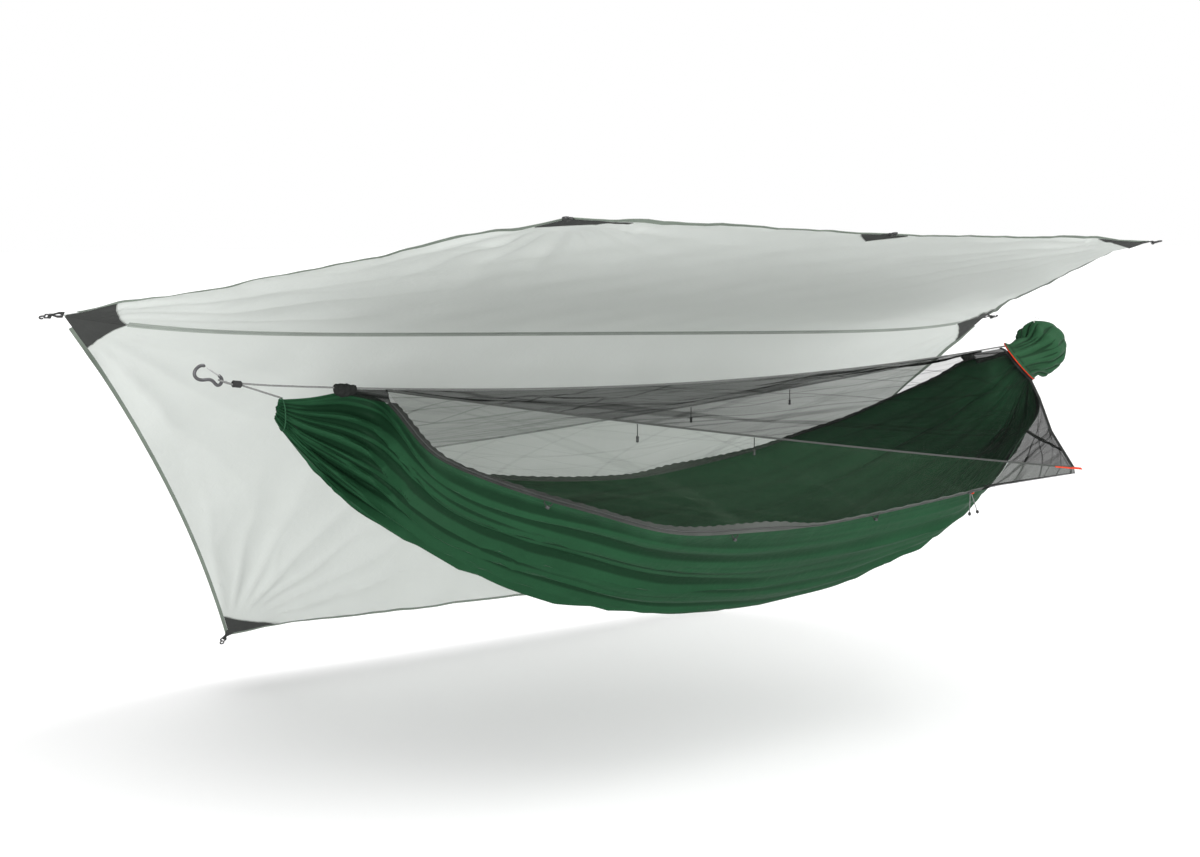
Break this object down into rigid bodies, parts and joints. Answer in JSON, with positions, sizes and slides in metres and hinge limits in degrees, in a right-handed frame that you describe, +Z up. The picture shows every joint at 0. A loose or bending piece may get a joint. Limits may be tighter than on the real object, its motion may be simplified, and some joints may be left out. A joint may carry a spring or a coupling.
{
  "type": "hammock tent",
  "caption": "Gathered-end hammock with a zipped bug net, hung under a six-cornered tarp pitched as a porch, with a stuff sack drawn over one end.",
  "frame": {"origin": "half way between the hammock's two gathered ends, on the line they hang from", "axes": "+X along the hammock from the head end to the sack end, +Y to the back, +Z up"},
  "size_m": [3.307, 1.9415, 1.3721],
  "materials": {
    "binding_cloth": "matt binding",
    "bright_wire": "polished wire",
    "dark_cloth": "coated, matt",
    "green_cloth": "light woven nylon, slight sheen",
    "grey_cord": "braided cord",
    "grey_metal": "anodised grey, satin",
    "hook_plastic": "moulded, matt",
    "net_cloth": "fine knitted mesh, see-through",
    "red_web": "flat webbing",
    "tape_cloth": "matt tape",
    "tarp_cloth": "thin coated ripstop, slightly sheer",
    "white_cord": "braided cord",
    "zip_tape": "woven tape with a coil"
  },
  "bodies": {
    "tarp_ridge": {"ridge_seam": "tape_cloth", "ridge_strap_left": "dark_cloth", "ridge_strap_right": "dark_cloth"},
    "front_fly": {"ridge_patch_left_front": "dark_cloth", "ridge_patch_right_front": "dark_cloth", "ridge_seam_tape": "tape_cloth", "tarp_front_binding": "binding_cloth", "tarp_front_panel": "tarp_cloth", "tarp_patch_front_left": "dark_cloth", "tarp_patch_front_middle": "dark_cloth", "tarp_patch_front_right": "dark_cloth"},
    "back_fly": {"ridge_patch_left_back": "dark_cloth", "ridge_patch_right_back": "dark_cloth", "tarp_back_binding": "binding_cloth", "tarp_back_panel": "tarp_cloth", "tarp_patch_back_left": "dark_cloth", "tarp_patch_back_right": "dark_cloth"},
    "hammock": {"bug_net_back": "net_cloth", "bug_net_front": "net_cloth", "carabiner_left": "grey_metal", "carabiner_right": "grey_metal", "cord_collar_left": "dark_cloth", "cord_collar_right": "dark_cloth", "end_cinch_left": "green_cloth", "end_cinch_right": "green_cloth", "hammock_cloth": "green_cloth", "net_bundle": "dark_cloth", "net_tie_loop_1": "grey_cord", "net_tie_loop_2": "grey_cord", "net_tie_loop_3": "grey_cord", "net_wing_back": "net_cloth", "net_wing_front": "net_cloth", "pullout_strap_back": "red_web", "pullout_strap_front": "red_web", "sack_cord_loop": "white_cord", "sack_mouth_trim": "red_web", "structural_ridge_cord": "grey_cord", "stuff_sack": "green_cloth", "suspension_cord_left": "grey_cord", "suspension_cord_right": "grey_cord", "zip_tape_back": "zip_tape", "zip_tape_front": "zip_tape"},
    "hook_back_left_body": {"hook_back_left": "hook_plastic"},
    "hook_back_right_body": {"hook_back_right": "hook_plastic"},
    "hook_front_left_body": {"hook_front_left": "hook_plastic"},
    "hook_front_middle_body": {"hook_front_middle": "hook_plastic"},
    "hook_front_right_body": {"hook_front_right": "hook_plastic"},
    "hook_ridge_left_body": {"hook_ridge_left": "hook_plastic"},
    "hook_ridge_right_body": {"hook_ridge_right": "hook_plastic"},
    "gate_left": {"carabiner_gate_left": "bright_wire"},
    "gate_right": {"carabiner_gate_right": "bright_wire"},
    "slider_front": {"zip_slider_front": "hook_plastic", "zip_pull_front": "grey_cord"},
    "slider_back": {"zip_slider_back": "hook_plastic", "zip_pull_back": "grey_cord"},
    "net_toggle_back_1_body": {"net_toggle_back_1": "hook_plastic"},
    "net_toggle_back_2_body": {"net_toggle_back_2": "hook_plastic"},
    "net_toggle_front_1_body": {"net_toggle_front_1": "hook_plastic"},
    "net_toggle_front_2_body": {"net_toggle_front_2": "hook_plastic"}
  },
  "joints": [
    {"name": "front_fly_lift", "type": "hinge", "parent": "tarp_ridge", "child": "front_fly", "pos_m": [-0.03, 0.51, 0.15], "axis": [-0.9994, 0, 0.0351], "range_deg": [0, 25]},
    {"name": "back_fly_lift", "type": "hinge", "parent": "tarp_ridge", "child": "back_fly", "pos_m": [-0.03, 0.51, 0.15], "axis": [0.9994, 0, -0.0351], "range_deg": [0, 68]},
    {"name": "hammock_swing", "type": "hinge", "parent": "tarp_ridge", "child": "hammock", "pos_m": [0, 0, 0.1], "axis": [1, 0, 0], "range_deg": [-9, 9]},
    {"name": "hook_back_left_turn", "type": "hinge", "parent": "back_fly", "child": "hook_back_left_body", "pos_m": [-0.98655, 1.19935, -0.84522], "axis": [-0.8342, -0.2953, 0.4657], "range_deg": [-50, 50]},
    {"name": "hook_back_right_turn", "type": "hinge", "parent": "back_fly", "child": "hook_back_right_body", "pos_m": [0.85409, 1.19946, -0.90998], "axis": [-0.874, 0.2864, -0.3925], "range_deg": [-50, 50]},
    {"name": "hook_front_left_turn", "type": "hinge", "parent": "front_fly", "child": "hook_front_left_body", "pos_m": [-0.94151, -0.70108, 0.43826], "axis": [0.8534, -0.5148, 0.0814], "range_deg": [-50, 50]},
    {"name": "hook_front_middle_turn", "type": "hinge", "parent": "front_fly", "child": "hook_front_middle_body", "pos_m": [-0.02122, -0.67392, 0.40009], "axis": [0.9994, 0, -0.0351], "range_deg": [-50, 50]},
    {"name": "hook_front_right_turn", "type": "hinge", "parent": "front_fly", "child": "hook_front_right_body", "pos_m": [0.89914, -0.70128, 0.37371], "axis": [0.8554, 0.4992, -0.138], "range_deg": [-50, 50]},
    {"name": "hook_ridge_left_turn", "type": "hinge", "parent": "tarp_ridge", "child": "hook_ridge_left_body", "pos_m": [-1.65851, 0.50787, 0.204], "axis": [0.0196, -0.829, 0.5588], "range_deg": [-50, 50]},
    {"name": "hook_ridge_right_turn", "type": "hinge", "parent": "tarp_ridge", "child": "hook_ridge_right_body", "pos_m": [1.59829, 0.50787, 0.0897], "axis": [-0.0196, 0.829, -0.5588], "range_deg": [-50, 50]},
    {"name": "gate_left_open", "type": "hinge", "parent": "hammock", "child": "gate_left", "pos_m": [-1.42653, 0, 0.08762], "axis": [0, -1, 0], "range_deg": [0, 25], "stiffness_Nm_per_rad": 0.012, "springref_deg": -14.32},
    {"name": "gate_right_open", "type": "hinge", "parent": "hammock", "child": "gate_right", "pos_m": [1.31069, 0.01266, 0.08279], "axis": [0.0698, 0, 0.9976], "range_deg": [0, 25], "stiffness_Nm_per_rad": 0.012, "springref_deg": -14.32},
    {"name": "slider_front_run", "type": "hinge", "parent": "hammock", "child": "slider_front", "pos_m": [0.05041, -2.25603, 0.64638], "axis": [-0.0452, 0.4724, 0.8802], "range_deg": [0, 13.16]},
    {"name": "slider_back_run", "type": "hinge", "parent": "hammock", "child": "slider_back", "pos_m": [-0.05041, 2.25603, 0.64638], "axis": [0.0452, -0.4724, 0.8802], "range_deg": [0, 13.16]},
    {"name": "net_toggle_back_1_swing", "type": "hinge", "parent": "hammock", "child": "net_toggle_back_1_body", "pos_m": [0.42368, 0.20839, -0.07085], "axis": [1, 0, 0], "range_deg": [-30, 30]},
    {"name": "net_toggle_back_2_swing", "type": "hinge", "parent": "hammock", "child": "net_toggle_back_2_body", "pos_m": [0.13334, 0.31196, -0.11509], "axis": [1, 0, 0], "range_deg": [-30, 30]},
    {"name": "net_toggle_front_1_swing", "type": "hinge", "parent": "hammock", "child": "net_toggle_front_1_body", "pos_m": [-0.42368, -0.20839, -0.07085], "axis": [1, 0, 0], "range_deg": [-30, 30]},
    {"name": "net_toggle_front_2_swing", "type": "hinge", "parent": "hammock", "child": "net_toggle_front_2_body", "pos_m": [-0.13334, -0.31196, -0.11509], "axis": [1, 0, 0], "range_deg": [-30, 30]}
  ]
}
